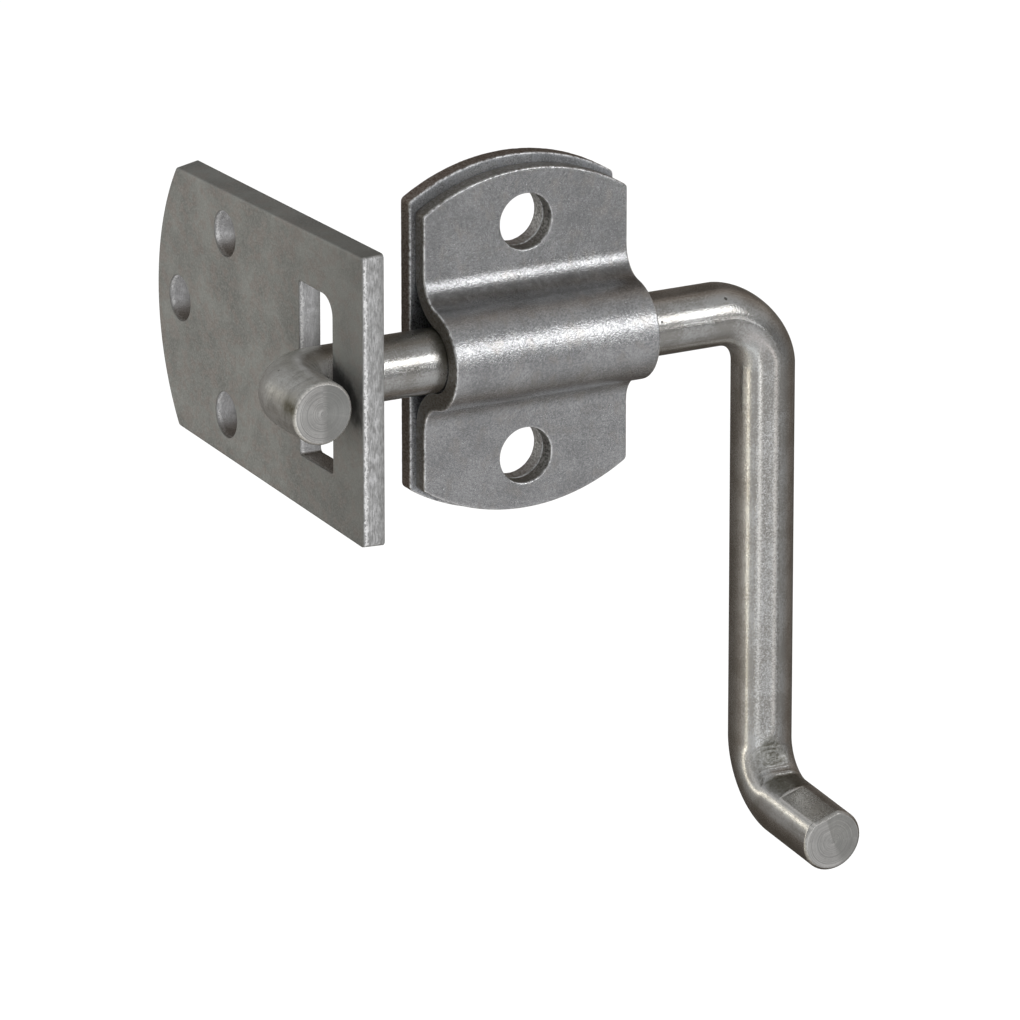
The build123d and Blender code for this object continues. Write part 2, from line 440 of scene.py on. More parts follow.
def add_piece(name, mesh, node, body, slot, *materials):
    """Shows a mesh in place of its CAD node."""
    piece = bpy.data.objects.new(name, mesh)
    bpy.context.scene.collection.objects.link(piece)
    for material in materials:
        mesh.materials.append(material)
    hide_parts(node)
    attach(piece, body)
    return piece


# Steel

def add_node(tree, kind, sockets=None, **settings):
    """One shader node, named by the end of its type's name, with its sockets set or linked."""
    node = tree.nodes.new("ShaderNode" + kind)
    node.location = (180 * (len(tree.nodes) % 24), -260 * (len(tree.nodes) // 24))
    for key, value in settings.items():
        setattr(node, key, value)
    for key, value in (sockets or {}).items():
        if isinstance(value, bpy.types.NodeSocket):
            tree.links.new(value, node.inputs[key])
        else:
            node.inputs[key].default_value = value
    return node


class Steel:
    """One material and the nodes that lead to its shader."""

    def __init__(self, name):
        self.material = bpy.data.materials.new(name)
        self.material.use_nodes = True
        self.tree = self.material.node_tree
        self.tree.nodes.clear()
        self.spot = self.add("TexCoord").outputs["Object"]

    def add(self, kind, sockets=None, **settings):
        return add_node(self.tree, kind, sockets, **settings)

    def marks(self, *names):
        """How strong each mark is, as the mesh gives it point by point."""
        return [self.add("Attribute", attribute_name=name).outputs["Fac"] for name in names]

    def axis(self, letter, spot=None):
        return self.add("SeparateXYZ", {0: spot or self.spot}).outputs[letter]

    def grain(self, size, detail, rough=0.55, stretch=None, spot=None):
        """Noise with features about this large, in metres. A stretch below 1 draws them out on that axis."""
        spot = spot or self.spot
        if stretch:
            spot = self.add("Mapping", {"Vector": spot, "Scale": stretch}).outputs["Vector"]
        return self.add("TexNoise", {"Vector": spot, "Scale": 1 / size, "Detail": detail,
                                     "Roughness": rough}).outputs["Fac"]

    def pits(self, size):
        """Distance to scattered points about this far apart."""
        return self.add("TexVoronoi", {"Vector": self.spot, "Scale": 1 / size}).outputs["Distance"]

    def level(self, value, low, high, start=0.0, end=1.0, kind="LINEAR"):
        """Goes from start to end as the value goes from low to high."""
        return self.add("MapRange", {"Value": value, "From Min": low, "From Max": high, "To Min": start,
                                     "To Max": end}, interpolation_type=kind).outputs["Result"]

    def math(self, kind, *values):
        return self.add("Math", dict(enumerate(values)), operation=kind).outputs["Value"]

    def product(self, value, *others):
        for other in others:
            value = self.math("MULTIPLY", value, other)
        return value

    def plus(self, value, *others):
        """A value with others added to it, each times its weight."""
        for other, weight in others:
            value = self.math("MULTIPLY_ADD", other, weight, value)
        return value

    def blend(self, part, a, b):
        wide = [value if isinstance(value, bpy.types.NodeSocket) else (*value, 1) for value in (a, b)]
        return self.add("Mix", {0: part, 6: wide[0], 7: wide[1]}, data_type="RGBA").outputs[2]

    def coats(self, colour, *coats):
        """A colour with coats over it, each given as its share and its colour."""
        for part, coat in coats:
            colour = self.blend(part, colour, coat)
        return colour

    def relief(self, *layers):
        """Bump from layers, each given as its height and its depth in metres."""
        normal = None
        for height, depth in layers:
            below = {"Normal": normal} if normal else {}
            normal = self.add("Bump", {"Height": height, "Distance": depth, "Strength": 1.0, **below}
                              ).outputs["Normal"]
        return normal

    def finish(self, colour, roughness, relief, metallic, anisotropy=0.0, tangent=None):
        along = {"Tangent": tangent} if tangent else {}
        shader = self.add("BsdfPrincipled", {
            "Base Color": colour, "Metallic": metallic, "Roughness": roughness, "Normal": relief,
            "Anisotropic": anisotropy, **along})
        self.add("OutputMaterial", {"Surface": shader.outputs["BSDF"]})
        return self.material


def sheared_sheet(name, settings, smoothest, roughest, speckle, hole_dark, hole_light):
    """Satin sheet with sheared, tarnished walls, painted highlights along its arrises, and painted shade on
    its face: darker higher up, and in a band on the strap's upper bend.
    """
    steel = Steel(name)
    arris, cut, through, grime, hole, stain = steel.marks("arris", "cut", "through", "grime", "hole", "stain")
    fine, middling = steel.grain(0.42 * MM, 2, 0.6), steel.grain(1.7 * MM, 3, 0.65)
    mottle = steel.plus(steel.product(steel.grain(10 * MM, 3), 0.6), (steel.grain(0.8 * MM, 3, 0.7), 0.6),
                        (fine, speckle))
    hue = steel.grain(4.5 * MM, 2, 0.6, (1.3, 1, 1))
    dark_specks = steel.level(steel.pits(2.3 * MM), 0.07, 0.12, 1, 0)
    lit = steel.level(mottle, 0.45 + speckle / 2, 0.75 + speckle / 2)
    face = steel.coats(
        steel.blend(lit, settings.dull, settings.bright),
        # Painted shade: the face darkens higher up
        (steel.level(steel.axis("Z"), 8 * MM, 30 * MM, 0, 0.28), (0.25, 0.25, 0.25)),
        (steel.level(hue, 0.52, 0.68, 0, 0.5), settings.patches),
        (steel.product(dark_specks, 0.2), (0.2, 0.2, 0.19)),
        # Painted shade in a band on the strap's upper bend
        (steel.product(stain, steel.level(middling, 0.3, 0.65, 1.0, 0.65)), (0.15, 0.145, 0.14)))
    wall_grain = steel.grain(0.45 * MM, 4, 0.7, (1, 0.5, 1))
    ragged = steel.level(wall_grain, 0.38, 0.64)
    wall = steel.coats(
        steel.blend(ragged, settings.tarnish, settings.wall),
        (hole, steel.blend(ragged, hole_dark, hole_light)),
        (steel.product(grime, 0.6), settings.tarnish),
        (steel.level(through, 0.80, 0.98, 0, 0.5), settings.tarnish))
    # Painted highlight along the rounded arrises, strongest on the front face
    shine = steel.product(arris, steel.level(steel.grain(1.1 * MM, 3, 0.7), 0.40, 0.56),
                          steel.level(through, 0.5, 0.9, 1.0, 0.25))
    colour = steel.coats(steel.blend(cut, face, wall), (shine, (0.92, 0.93, 0.94)))
    rough = steel.plus(steel.level(middling, 0.35, 0.65, smoothest, roughest), (cut, 0.18), (shine, -0.1))
    relief = steel.relief((fine, 0.085 * MM), (middling, 0.06 * MM), (dark_specks, -0.05 * MM),
                          (steel.product(wall_grain, cut), 0.12 * MM))
    return steel.finish(colour, rough, relief, steel.plus(steel.level(cut, 0, 1, 0.96, 0.88), (hole, -0.15)))


def mill_plate(settings):
    """Matt mill plate with torn bright edges, a painted shadow of the hook, and painted shade towards the
    near edge, on the plain side walls and along the front arris.
    """
    steel = Steel("keeper_mill_plate")
    arris, cut, plain, through, grime, hole = steel.marks("arris", "cut", "plain", "through", "grime", "hole")
    cloud, fine = steel.grain(13 * MM, 4), steel.grain(0.5 * MM, 3, 0.6)
    # Painted shadow of the hook: distance from a slanted, stretched middle, with a ragged rim
    slanted = steel.add("Mapping", {
        "Vector": steel.spot, "Location": settings.hook_shadow_at, "Rotation": (radians(26), 0, 0),
        "Scale": (1, 2.4, 1)}, vector_type="TEXTURE").outputs["Vector"]
    from_shadow_middle = steel.plus(steel.add("VectorMath", {0: slanted}, operation="LENGTH").outputs["Value"],
                          (steel.grain(3 * MM, 3, 0.6), 4 * MM))
    face = steel.coats(
        steel.blend(steel.level(cloud, 0.40, 0.62), settings.dull, settings.bright),
        (steel.level(steel.grain(3.6 * MM, 3, 0.6, (1, 1, 1.3)), 0.48, 0.60, 0, 0.55), settings.brown),
        (steel.level(fine, 0.40, 0.66, 0.0, 0.32), (0.62, 0.62, 0.60)),
        # Painted shade: the face darkens towards its near edge
        (steel.level(steel.axis("Y"), 15 * MM, bar_y - 20 * MM, 0, 0.42), (0.18, 0.18, 0.17)),
        # Painted shadow of the hook, nearly black at its middle
        (steel.level(from_shadow_middle, 4.6 * MM, 8.6 * MM, 0.96, 0, "SMOOTHSTEP"), (0.05, 0.05, 0.05)),
        # Painted shade on the plain side walls
        (steel.product(plain, 0.5), (0.14, 0.14, 0.13)))
    torn_lines = steel.grain(0.4 * MM, 3, 0.65, (1.4, 1.4, 0.16))
    blots = steel.grain(1.5 * MM, 4, 0.7, (1, 1, 0.6))
    wall = steel.coats(
        steel.blend(steel.level(torn_lines, 0.38, 0.62), (0.33, 0.33, 0.33), settings.sheared),
        (steel.level(blots, 0.36, 0.50, 0.6, 0), (0.24, 0.24, 0.235)),
        (steel.level(blots, 0.55, 0.66, 0, 0.5), (0.85, 0.85, 0.86)),
        (steel.product(hole, 0.4), (0.85, 0.85, 0.87)),
        (steel.level(through, 0.6, 1.0, 0, 0.6), (0.20, 0.20, 0.19)),
        (steel.product(grime, 0.9), (0.10, 0.08, 0.06)))
    ragged = steel.plus(through, (steel.grain(1.0 * MM, 3, 0.75), 0.5))
    bright_line = steel.product(
        steel.level(ragged, 0.34, 0.37), steel.level(ragged, 0.44, 0.49, 1, 0),
        steel.level(steel.grain(2 * MM, 3, 0.75), 0.38, 0.50, 0.25, 1), cut,
        steel.level(grime, 0.1, 0.6, 1, 0.1))
    # Painted shade along the front arris of the near edge, the slot and the holes
    arris_shade = steel.product(arris, steel.level(through, 0.05, 0.12, 0.75, 0))
    colour = steel.coats(steel.blend(cut, face, wall), (bright_line, (0.97, 0.97, 0.97)),
                         (arris_shade, (0.16, 0.16, 0.15)))
    rough = steel.plus(steel.level(fine, 0.3, 0.7, 0.46, 0.60), (cut, -0.10))
    relief = steel.relief((fine, 0.08 * MM), (cloud, 0.15 * MM), (steel.product(torn_lines, cut), 0.16 * MM))
    return steel.finish(colour, rough, relief, steel.level(cut, 0, 1, 0.74, 0.60))


def drawn_bar(settings):
    """Semi-bright drawn bar with rolled speckle, bending creases, brown film in its hollows, painted
    highlights along its edges and lines, and painted shade on some of its sides.
    """
    steel = Steel("drawn_bar_steel")
    arris, scuffed, film, creased, smooth = steel.marks(*BAR_MARKS)
    drawn = steel.add("UVMap", uv_map="along_bar").outputs["UV"]
    lines = steel.grain(1 * MM, 3, 0.6, (1.6, 0.05, 1), drawn)
    creases = steel.grain(1 * MM, 3, 0.7, (0.22, 0.55, 1), drawn)
    fine, middling = steel.grain(0.45 * MM, 2, 0.6), steel.grain(1.3 * MM, 3, 0.65)
    mix = steel.plus(steel.grain(8 * MM, 3), (fine, 0.7), (lines, 0.35))
    sparkle = steel.product(scuffed, steel.level(fine, 0.44, 0.62, -0.35, 0.6))
    deep_creases = steel.product(steel.math("POWER", creased, 3.0),
                                 steel.level(creases, 0.40, 0.48, 0.85, 0))
    dots = steel.level(steel.pits(9 * MM), 0.03, 0.055, 1, 0)
    colour = steel.coats(
        steel.blend(steel.level(mix, 0.90, 1.14), settings.dull, settings.bright),
        (steel.math("MAXIMUM", sparkle, 0.0), (0.93, 0.94, 0.95)),
        (steel.math("MAXIMUM", steel.product(sparkle, -1.0), 0.0), (0.25, 0.25, 0.24)),
        (steel.product(creased, 0.45), (0.46, 0.47, 0.44)),
        (deep_creases, (0.12, 0.12, 0.11)),
        # Film mark: brown film in hollows and pits, and painted shade on the shaft, beside the handle and
        # under the grip
        (steel.product(film, steel.level(middling, 0.25, 0.6, 0.65, 1.0)), settings.tarnish),
        # Painted highlights wherever the arris mark lies: edges of flats, bright lines, ridges, the step and
        # chamfers
        (steel.product(arris, steel.level(fine, 0.34, 0.52, 0.35, 1.0)), (1.0, 0.975, 0.93)),
        (steel.product(dots, 0.7), (0.10, 0.09, 0.08)))
    rough = steel.plus(steel.level(middling, 0.35, 0.65, 0.17, 0.24), (scuffed, 0.10), (creased, 0.26),
                       (film, 0.18))
    relief = steel.relief(
        (lines, 0.010 * MM), (steel.product(fine, steel.level(smooth, 0, 1, 1, 0.1)), 0.045 * MM),
        (dots, -0.2 * MM), (steel.product(creases, creased), 0.22 * MM),
        (steel.product(steel.grain(0.8 * MM, 3, 0.7), scuffed), 0.16 * MM))
    return steel.finish(colour, rough, relief, steel.level(creased, 0, 1, 0.99, 0.80))


def sawn_end(settings):
    """Turned face of the bar's ends: fine rings, and rays of painted sheen. The grip's end has a dark fan of
    painted sheen from its middle, and the hook's end has painted shade on the side towards the keeper."""
    steel = Steel("sawn_end_steel")
    face = steel.add("UVMap", uv_map="along_bar").outputs["UV"]
    round_face, along_latch = steel.axis("X", face), steel.axis("X")
    rings = steel.grain(1 * MM, 3, 0.7, (0.03, 2.6, 1), face)
    bands = steel.grain(1 * MM, 2, 0.6, (0.02, 0.8, 1), face)
    rays = steel.grain(1 * MM, 2, 0.6, (0.45, 0.01, 1), face)
    fine = steel.grain(0.6 * MM, 3, 0.6)
    degree = radians(1) * settings.radius
    # Painted sheen: a dark fan on the grip's end
    fan = steel.math("MAXIMUM", steel.level(round_face, 108 * degree, 112 * degree, 1, 0),
                     steel.level(round_face, 286 * degree, 300 * degree))
    fan = steel.product(fan, steel.level(along_latch, 0, 1 * MM), steel.level(rays, 0.3, 0.7, 0.6, 1.0))
    hook_middle = bar_low.x + settings.radius
    # Painted shade on the hook's end, on the side towards the keeper
    shaded = steel.product(steel.level(along_latch, hook_middle - 0.5 * MM, hook_middle + 1.2 * MM),
                           steel.level(along_latch, -1 * MM, 0, 1, 0),
                           steel.level(rays, 0.35, 0.6, 0.5, 1.0))
    colour = steel.coats(
        steel.blend(fan, (0.80, 0.79, 0.77), (0.44, 0.44, 0.415)),
        (shaded, (0.27, 0.28, 0.265)),
        # Painted sheen along the rays
        (steel.level(rays, 0.38, 0.62, 0, 0.35), (0.92, 0.92, 0.90)),
        (steel.level(rings, 0.42, 0.54, 0.5, 0), (0.32, 0.32, 0.31)),
        (steel.level(bands, 0.40, 0.60, 0.5, 0), (0.40, 0.40, 0.39)),
        (steel.level(fine, 0.55, 0.72, 0, 0.3), (0.3, 0.29, 0.28)))
    relief = steel.relief((rings, 0.012 * MM), (fine, 0.03 * MM))
    tangent = steel.add("Tangent", direction_type="UV_MAP", uv_map="along_bar").outputs["Tangent"]
    return steel.finish(colour, steel.level(fine, 0.3, 0.7, 0.34, 0.46), relief, 0.95, 0.6, tangent)


# Backing plate and strap. Their flat coordinate u runs towards the keeper.

def flat_place(front_y):
    """Lays a flat sheet with its front face at this depth."""
    turned = Matrix(((-1, 0, 0), (0, 0, 1), (0, 1, 0)))
    return lambda u, v, depth: (Vector((-u, front_y + depth, v)), turned)


def bent_place(outer, hollow, thickness, front_y):
    """Wraps the developed sheet round the bar: bulge, foot bends and two flats. Also gives the sheet's run
    over half the bulge, its run over a foot bend, and the height where the foot turns flat."""
    middle, foot_middle = outer - thickness / 2, hollow + thickness / 2
    centre_y = front_y - bar_y - hollow
    foot_z = sqrt((outer + hollow) ** 2 - centre_y ** 2)
    sweep = atan2(foot_z, -centre_y)
    round_run, foot_run = sweep * middle, sweep * foot_middle

    def place(u, v, depth):
        side, run = (1 if v >= 0 else -1), abs(v)
        if run <= round_run:
            lean = run / middle
            y, z = -(outer - depth) * cos(lean), (outer - depth) * sin(lean)
        elif run <= round_run + foot_run:
            lean = sweep - (run - round_run) / foot_middle
            y, z = centre_y + (hollow + depth) * cos(lean), foot_z - (hollow + depth) * sin(lean)
        else:
            lean = 0
            y, z = front_y - bar_y + depth, foot_z + run - round_run - foot_run
        turned = Matrix(((-1, 0, 0), (0, sin(lean) * side, cos(lean)), (0, cos(lean), -sin(lean) * side)))
        return Vector((-u, bar_y + y, z * side)), turned
    return place, round_run, foot_run, foot_z


def torn(amount, size, seed):
    """How far a sheared wall is torn in, rougher towards the back of the sheet."""
    def bite(u, v, depth):
        spot = Vector((u / size, v / size, depth / size * 0.4 + seed))
        rag = noise.noise(spot) * 0.5 + noise.noise(spot * 2.7) * 0.3 + 0.4
        return amount * max(0, rag) * (0.35 + 0.65 * soft_step(1.2 * MM, 3 * MM, depth))
    return bite


class LATCH_OT_backing(Operator):
    """Build the backing plate"""
    bl_idname = "latch.backing"
    bl_label = "Backing plate"

    def execute(self, context):
        strap, settings = context.scene.latch_strap, context.scene.latch_backing
        low, high = backing_low, backing_high
        outer = arched_rim(high.x - low.x, high.z, low.z, strap.end_arc, strap.corner,
                           middle=-(low.x + high.x) / 2)
        mesh_step = 3.2 * MM
        mesh = plate_mesh("backing_sheet", [(r, r) for r in [outer, *bolt_holes(bracket_bolts)]],
                          edge_profile(sheet_thickness, front=0.45 * MM, back=0.25 * MM), sheet_thickness,
                          spread(-high.x, -low.x, mesh_step), spread(low.z, high.z, mesh_step),
                          flat_place(low.y), torn(amount=0.12 * MM, size=1.1 * MM, seed=3))
        steel = sheared_sheet("backing_steel", settings, smoothest=0.30, roughest=0.42, speckle=1.4,
                              hole_dark=(0.26, 0.26, 0.25), hole_light=(0.90, 0.90, 0.89))
        add_piece("backing_sheet", mesh, "backing_plate", "bracket", "backing_sheet", steel)
        return {"FINISHED"}


class LATCH_OT_strap(Operator):
    """Build the strap that holds the bar"""
    bl_idname = "latch.strap"
    bl_label = "Strap"

    def execute(self, context):
        settings = context.scene.latch_strap
        low, high = strap_low, strap_high
        outer = bar_y - low.y
        front_y = high.y - sheet_thickness
        place, round_run, foot_run, foot_z = bent_place(outer, settings.foot_bend, sheet_thickness, front_y)
        gain = round_run + foot_run - foot_z
        bends = [*spread(0, round_run, 0.6 * MM), *spread(round_run, round_run + foot_run, 0.5 * MM)[1:]]
        flats = spread(round_run + foot_run, high.z + gain, 2.6 * MM)[1:]
        bend_rows = sorted({round(side * row, 9) for side in (1, -1) for row in bends})
        rows = sorted({*bend_rows, *(round(side * row, 9) for side in (1, -1) for row in flats)})
        rim_points = arched_rim(high.x - low.x, high.z, low.z, settings.end_arc, settings.corner,
                                shift=gain, levels=rows)
        holes = bolt_holes(bracket_bolts, shift=gain)
        across = spread(low.x, high.x, 2.9 * MM)[1:-1]

        def pressed(v):
            """Painted shade: a dark band on the upper bend, and a faint line above it, which keep the bend's
            highlight narrow.
            """
            up = (v - round_run) / MM
            band = between(up, -4.5, -0.5, 6.8, 9.6)
            return 0.9 * band * (0.6 + 0.4 * fade(up - 5.2, 2.2)) + 0.4 * fade(up - 12.3, 0.8)

        mesh = plate_mesh("strap_sheet", [(r, r) for r in [rim_points, *holes]],
                          edge_profile(sheet_thickness, front=0.5 * MM, back=0.3 * MM), sheet_thickness,
                          across, rows, place, torn(amount=0.10 * MM, size=1.1 * MM, seed=11), bend_rows,
                          stain=pressed)
        steel = sheared_sheet("strap_steel", settings, smoothest=0.19, roughest=0.26, speckle=0.8,
                              hole_dark=(0.04, 0.04, 0.035), hole_light=(0.44, 0.44, 0.43))
        add_piece("strap_sheet", mesh, "strap", "bracket", "pressed_sheet", steel)
        return {"FINISHED"}


class LATCH_OT_keeper(Operator):
    """Build the slotted keeper plate"""
    bl_idname = "latch.keeper"
    bl_label = "Keeper plate"

    def execute(self, context):
        settings = context.scene.latch_keeper
        low, high = keeper_low, keeper_high
        thickness = high.x - low.x
        rise, half = (low.z + high.z) / 2, (high.z - low.z) / 2
        near, tip = bar_y - low.y, high.y - bar_y
        back = keeper_rim(near, settings.far, tip, half, half - settings.taper, settings.corner)
        front = keeper_rim(near, settings.far, tip, half - settings.face_trim,
                           half - settings.face_trim - settings.face_taper, settings.corner)
        slot = slot_rim(settings.slot_width, settings.slot_height, settings.slot_corner,
                        settings.slot_relief)
        row = mounts["keeper_bolts"]["pos_m"][1] - bar_y
        third = mounts["keeper_third_bolt"]["pos_m"][1] - bar_y
        holes = [*bolt_holes(keeper_bolts, row), round_hole((third, 0), keeper_bolts["hole_r_mm"] * MM)]
        turned = Matrix(((0, 0, 1), (1, 0, 0), (0, 1, 0)))
        mesh_step = 3.5 * MM
        mesh = plate_mesh("keeper_plate_steel", [(front, back), (slot, slot), *((h, h) for h in holes)],
                          edge_profile(thickness, front=0.4 * MM, back=0.25 * MM, walls=10), thickness,
                          spread(-near, tip, mesh_step), spread(-half, half, mesh_step),
                          lambda u, v, depth: (Vector((low.x + depth, bar_y + u, rise + v)), turned),
                          torn(amount=0.2 * MM, size=1.3 * MM, seed=23), plain_sides=True)
        add_piece("keeper_steel", mesh, "keeper_plate", "bracket", "mill_plate", mill_plate(settings))
        return {"FINISHED"}


# Bar

class Station:
    """One cross section of the bar: its middle, its directions and where it lies along the bar."""

    def __init__(self, middle, ahead, up, run, part, share):
        self.middle, self.ahead, self.up, self.run = middle, ahead, up, run
        self.side = ahead.cross(up)
        self.part, self.share = part, share


def bar_stations(corners, radii, steps):
    """Sections along straights and bends, with their up direction carried round each bend. steps gives each
    part's name and the distance between its sections."""
    stations, run, up = [], 0, Vector((0, 0, 1))
    at, steps = corners[0], list(steps.items())
    for index, (start, end) in enumerate(zip(corners, corners[1:])):
        ahead = (end - start).normalized()
        name, step = steps[2 * index]
        last = index == len(radii)
        if not last:
            onward, radius = (corners[index + 2] - end).normalized(), radii[index]
            bend = ahead.angle(onward)
            end = end - ahead * radius * tan(bend / 2)
        reach = (end - at).length
        for along in spread(0, reach, step)[min(index, 1):]:
            stations.append(Station(at + ahead * along, ahead, up, run + along, name, along / reach))
        run += reach
        if last:
            return stations
        name, step = steps[2 * index + 1]
        axle = ahead.cross(onward).normalized()
        inward = axle.cross(ahead)
        centre = end + inward * radius
        for angle in spread(0, bend, step / radius)[1:]:
            twist = Matrix.Rotation(angle, 3, axle)
            stations.append(Station(centre - twist @ inward * radius, twist @ ahead, twist @ up,
                                    run + radius * angle, name, angle / bend))
        up = twist @ up
        run += radius * bend
        at = centre - twist @ inward * radius


def flat_limit(radius, depth, angle, facing):
    """Distance from the bar's middle to a flat this deep that faces the given angle."""
    lean = cos(angle - facing)
    return (radius - depth) / lean if lean > 0.3 else radius * 2


def soft_min(a, b, softness):
    """The smaller of two distances, with a rounded change from one to the other."""
    part = min(1, max(0, 0.5 + (b - a) / (2 * softness)))
    return b + (a - b) * part - softness * part * (1 - part)


class Skin:
    """One point of the bar's surface: where it is, how far it lies from the bar's middle, and its marks.
    Its angle runs round the bar from the station's up direction."""

    def __init__(self, station, angle, settings, grip_bend_run):
        self.station, self.angle, self.settings = station, angle, settings
        self.part, self.share = station.part, station.share
        self.below, self.past = -station.middle.z, station.run - grip_bend_run
        self.radius = self.reach = settings.radius
        self.facing = pi / 2 + settings.press_turn
        self.marks = dict.fromkeys(BAR_MARKS, 0.0)

    def mark(self, name, share):
        self.marks[name] = max(self.marks[name], share)

    def off(self, angle):
        """How far round the bar the point lies from an angle."""
        return (self.angle - angle) * self.radius

    def press(self, depth, softness, lifted=0):
        """Presses a flat towards the tool's side, and says how far past the flat's edge the point lies."""
        limit = flat_limit(self.radius, depth, self.angle, self.facing) + lifted
        self.reach = soft_min(self.reach, limit, softness)
        return (abs(self.angle - self.facing) - acos((self.radius - depth) / self.radius)) * self.radius

    def thin_bends(self):
        """Metal drawn off the outside of each bend, and creases on its inside."""
        settings = self.settings
        thinning, outside, creases = {
            "hook_bend": (settings.hook_thinning, 1.5 * pi, 0.95),
            "handle_bend": (settings.handle_thinning, 0, 0.3),
            "grip_bend": (settings.grip_thinning, 1.5 * pi, 0)}.get(self.part, (0, 0, 0))
        swell, turned_out = sin(pi * self.share), cos(self.angle - outside)
        if thinning:
            self.reach -= thinning * swell ** 1.2 * max(0, turned_out) ** 1.5
            self.mark("creased", creases * swell * soft_step(0, 0.8, -turned_out))

    def shade_shaft(self):
        """Painted shade on top of the shaft's end by the hook, and a painted shadow where the shaft enters
        the strap.
        """
        x, upward = self.station.middle.x, cos(self.angle)
        mouth_shadow = soft_step(strap_low.x - 3.6 * MM, strap_low.x - 0.8 * MM, x) * (x < 0)
        self.mark("film", 0.5 * soft_step(-24 * MM, -34 * MM, x) * soft_step(0.55, 0.9, upward))
        # Painted shadow where the shaft enters the strap
        self.mark("film", 0.85 * mouth_shadow * soft_step(-0.6, 0.5, upward))

    def crease_hook(self):
        """Fine creases all over the hook, and film beside its end and inside its bend."""
        if self.part == "hook":
            self.mark("creased", 0.65)
            self.mark("film", fade(self.angle - radians(284), radians(17))
                      * (1 - soft_step(4.5 * MM, 8 * MM, self.station.run)))
        else:
            self.mark("creased", 0.65 - 0.3 * self.share)
            self.mark("film", 0.45 * soft_step(0.3, 0.7, self.share)
                      * soft_step(0.6, 0.95, cos(self.angle - radians(8))))

    def press_handle(self):
        """Long flat down the handle: speckled, with painted highlights along its edges, and painted shade on
        its side towards the bracket.
        """
        settings, below = self.settings, self.below
        foot_z = settings.handle_drop - settings.handle_press_foot
        head = soft_step(settings.handle_press_head, settings.handle_press_head + 9 * MM, below)
        foot = 1 - soft_step(foot_z - 2.2 * MM, foot_z, below)
        if head * foot > 0:
            from_edge = self.press(settings.handle_press * head * foot, 0.02 * MM)
            # Painted highlights along the flat's edges: fainter lower down on one edge, unevenly bright on
            # the other
            if self.angle > self.facing:
                highlit = 1 - 0.5 * soft_step(60 * MM, 85 * MM, below)
            else:
                highlit = 0.95 + 0.4 * noise.noise(Vector((0, below / (14 * MM), 4)))
            self.mark("arris", head * foot * highlit * fade(from_edge, settings.edge_width))
            on_flat = 1 - soft_step(0.6 * MM, 1.6 * MM, from_edge)
            self.mark("scuffed", (0.6 + 0.4 * fade(from_edge, 1.1 * MM)) * on_flat * head
                      * (0.4 + 0.6 * soft_step(18 * MM, 34 * MM, below)))
        # Painted shade on the handle's side towards the bracket
        self.mark("film", 0.4 * between(self.angle, *map(radians, (150, 178, 200, 235))))

    def pit_pin_place(self):
        """Rough patch that the bending pin left at the foot of the handle."""
        round_pin = self.off(self.settings.pin_middle)
        near_middle = fade(round_pin, 4.4 * MM)
        patch = (soft_step(-3.2 * MM, -1.4 * MM, self.past - 7 * MM * (1 - near_middle))
                 * (1 - soft_step(10.5 * MM, 12.5 * MM, self.past)) * near_middle)
        spot = Vector((self.angle * self.radius, self.station.run, 0)) / MM
        pitted = noise.noise(spot * 1.1) * 0.6 + noise.noise(spot * 2.3) * 0.4
        from_arch = Vector((round_pin, self.past - 6 * MM)).length
        pitted += 0.35 * sin(from_arch / (0.36 * MM)) * soft_step(1 * MM, 3 * MM, from_arch)
        self.reach += self.settings.pit_depth * (pitted - 0.35) * patch
        self.mark("scuffed", patch)
        self.mark("creased", 0.9 * patch)
        self.mark("film", patch * (0.25 + 0.6 * soft_step(-0.05, 0.3, -pitted)))

    def press_pin_land(self):
        """Land round the inside of the grip's bend, where it lay on the bending pin."""
        # Painted highlight: a bright line round the bend
        self.mark("arris", 0.6 * fade(self.off(radians(145)), 0.5 * MM))
        distance = flat_limit(self.radius, self.settings.pin_press, self.angle, pi / 2)
        press = between(self.share, 0, 0.4, 0.9, 1)
        limit = distance + (self.radius * 1.05 - distance) * (1 - press)
        if limit < self.reach:
            self.mark("scuffed", press * 0.5)
        self.reach = soft_min(self.reach, limit, 0.05 * MM)

    def raise_ridges(self):
        """Two small ridges of metal that the pin pushed up across the inside of the grip's bend."""
        pin_middle = self.settings.pin_middle
        across_pin = soft_step(0.25, 0.6, fade(self.off(pin_middle), 5 * MM))
        for ridge in (12.3 * MM, 15.4 * MM):
            lean = ridge + 1.6 * MM * (pin_middle - self.angle) * (ridge / (15 * MM) - 0.9)
            top = fade(self.past - lean, 0.45 * MM) * across_pin
            self.reach += 0.09 * MM * top
            # Painted highlight along each ridge's top
            self.mark("arris", 0.25 * top)

    def hollow_grip(self, out):
        """Dark ragged hollow before the grip's step, painted shade under the grip, and a painted highlight
        line at its side.
        """
        step, angle = self.settings.grip_step, self.angle
        rag = noise.noise(Vector((angle * self.radius, self.station.run, 9 * MM)) / (2.2 * MM))
        hollow = (soft_step(16.4 * MM, 18.6 * MM, self.past + 1.1 * MM * rag)
                  * (1 - soft_step(step - 0.5 * MM, step, out))
                  * soft_step(radians(46), radians(68), angle + 0.12 * rag)
                  * (1 - soft_step(radians(126), radians(142), angle + 0.1 * rag)))
        self.reach -= 0.4 * MM * hollow
        self.mark("film", 0.8 * hollow)
        self.mark("scuffed", 0.8 * hollow)
        # Painted shade under the grip and on its side towards the bracket
        under = between(angle, *map(radians, (168, 200, 300, 330)))
        self.mark("film", 0.55 * under * soft_step(-2 * MM, 14 * MM, self.past))
        # Painted highlight: a bright line along the grip's side
        line = fade(self.off(radians(143.5)), 0.34 * MM)
        self.mark("arris", line * soft_step(14 * MM, 20 * MM, self.past))

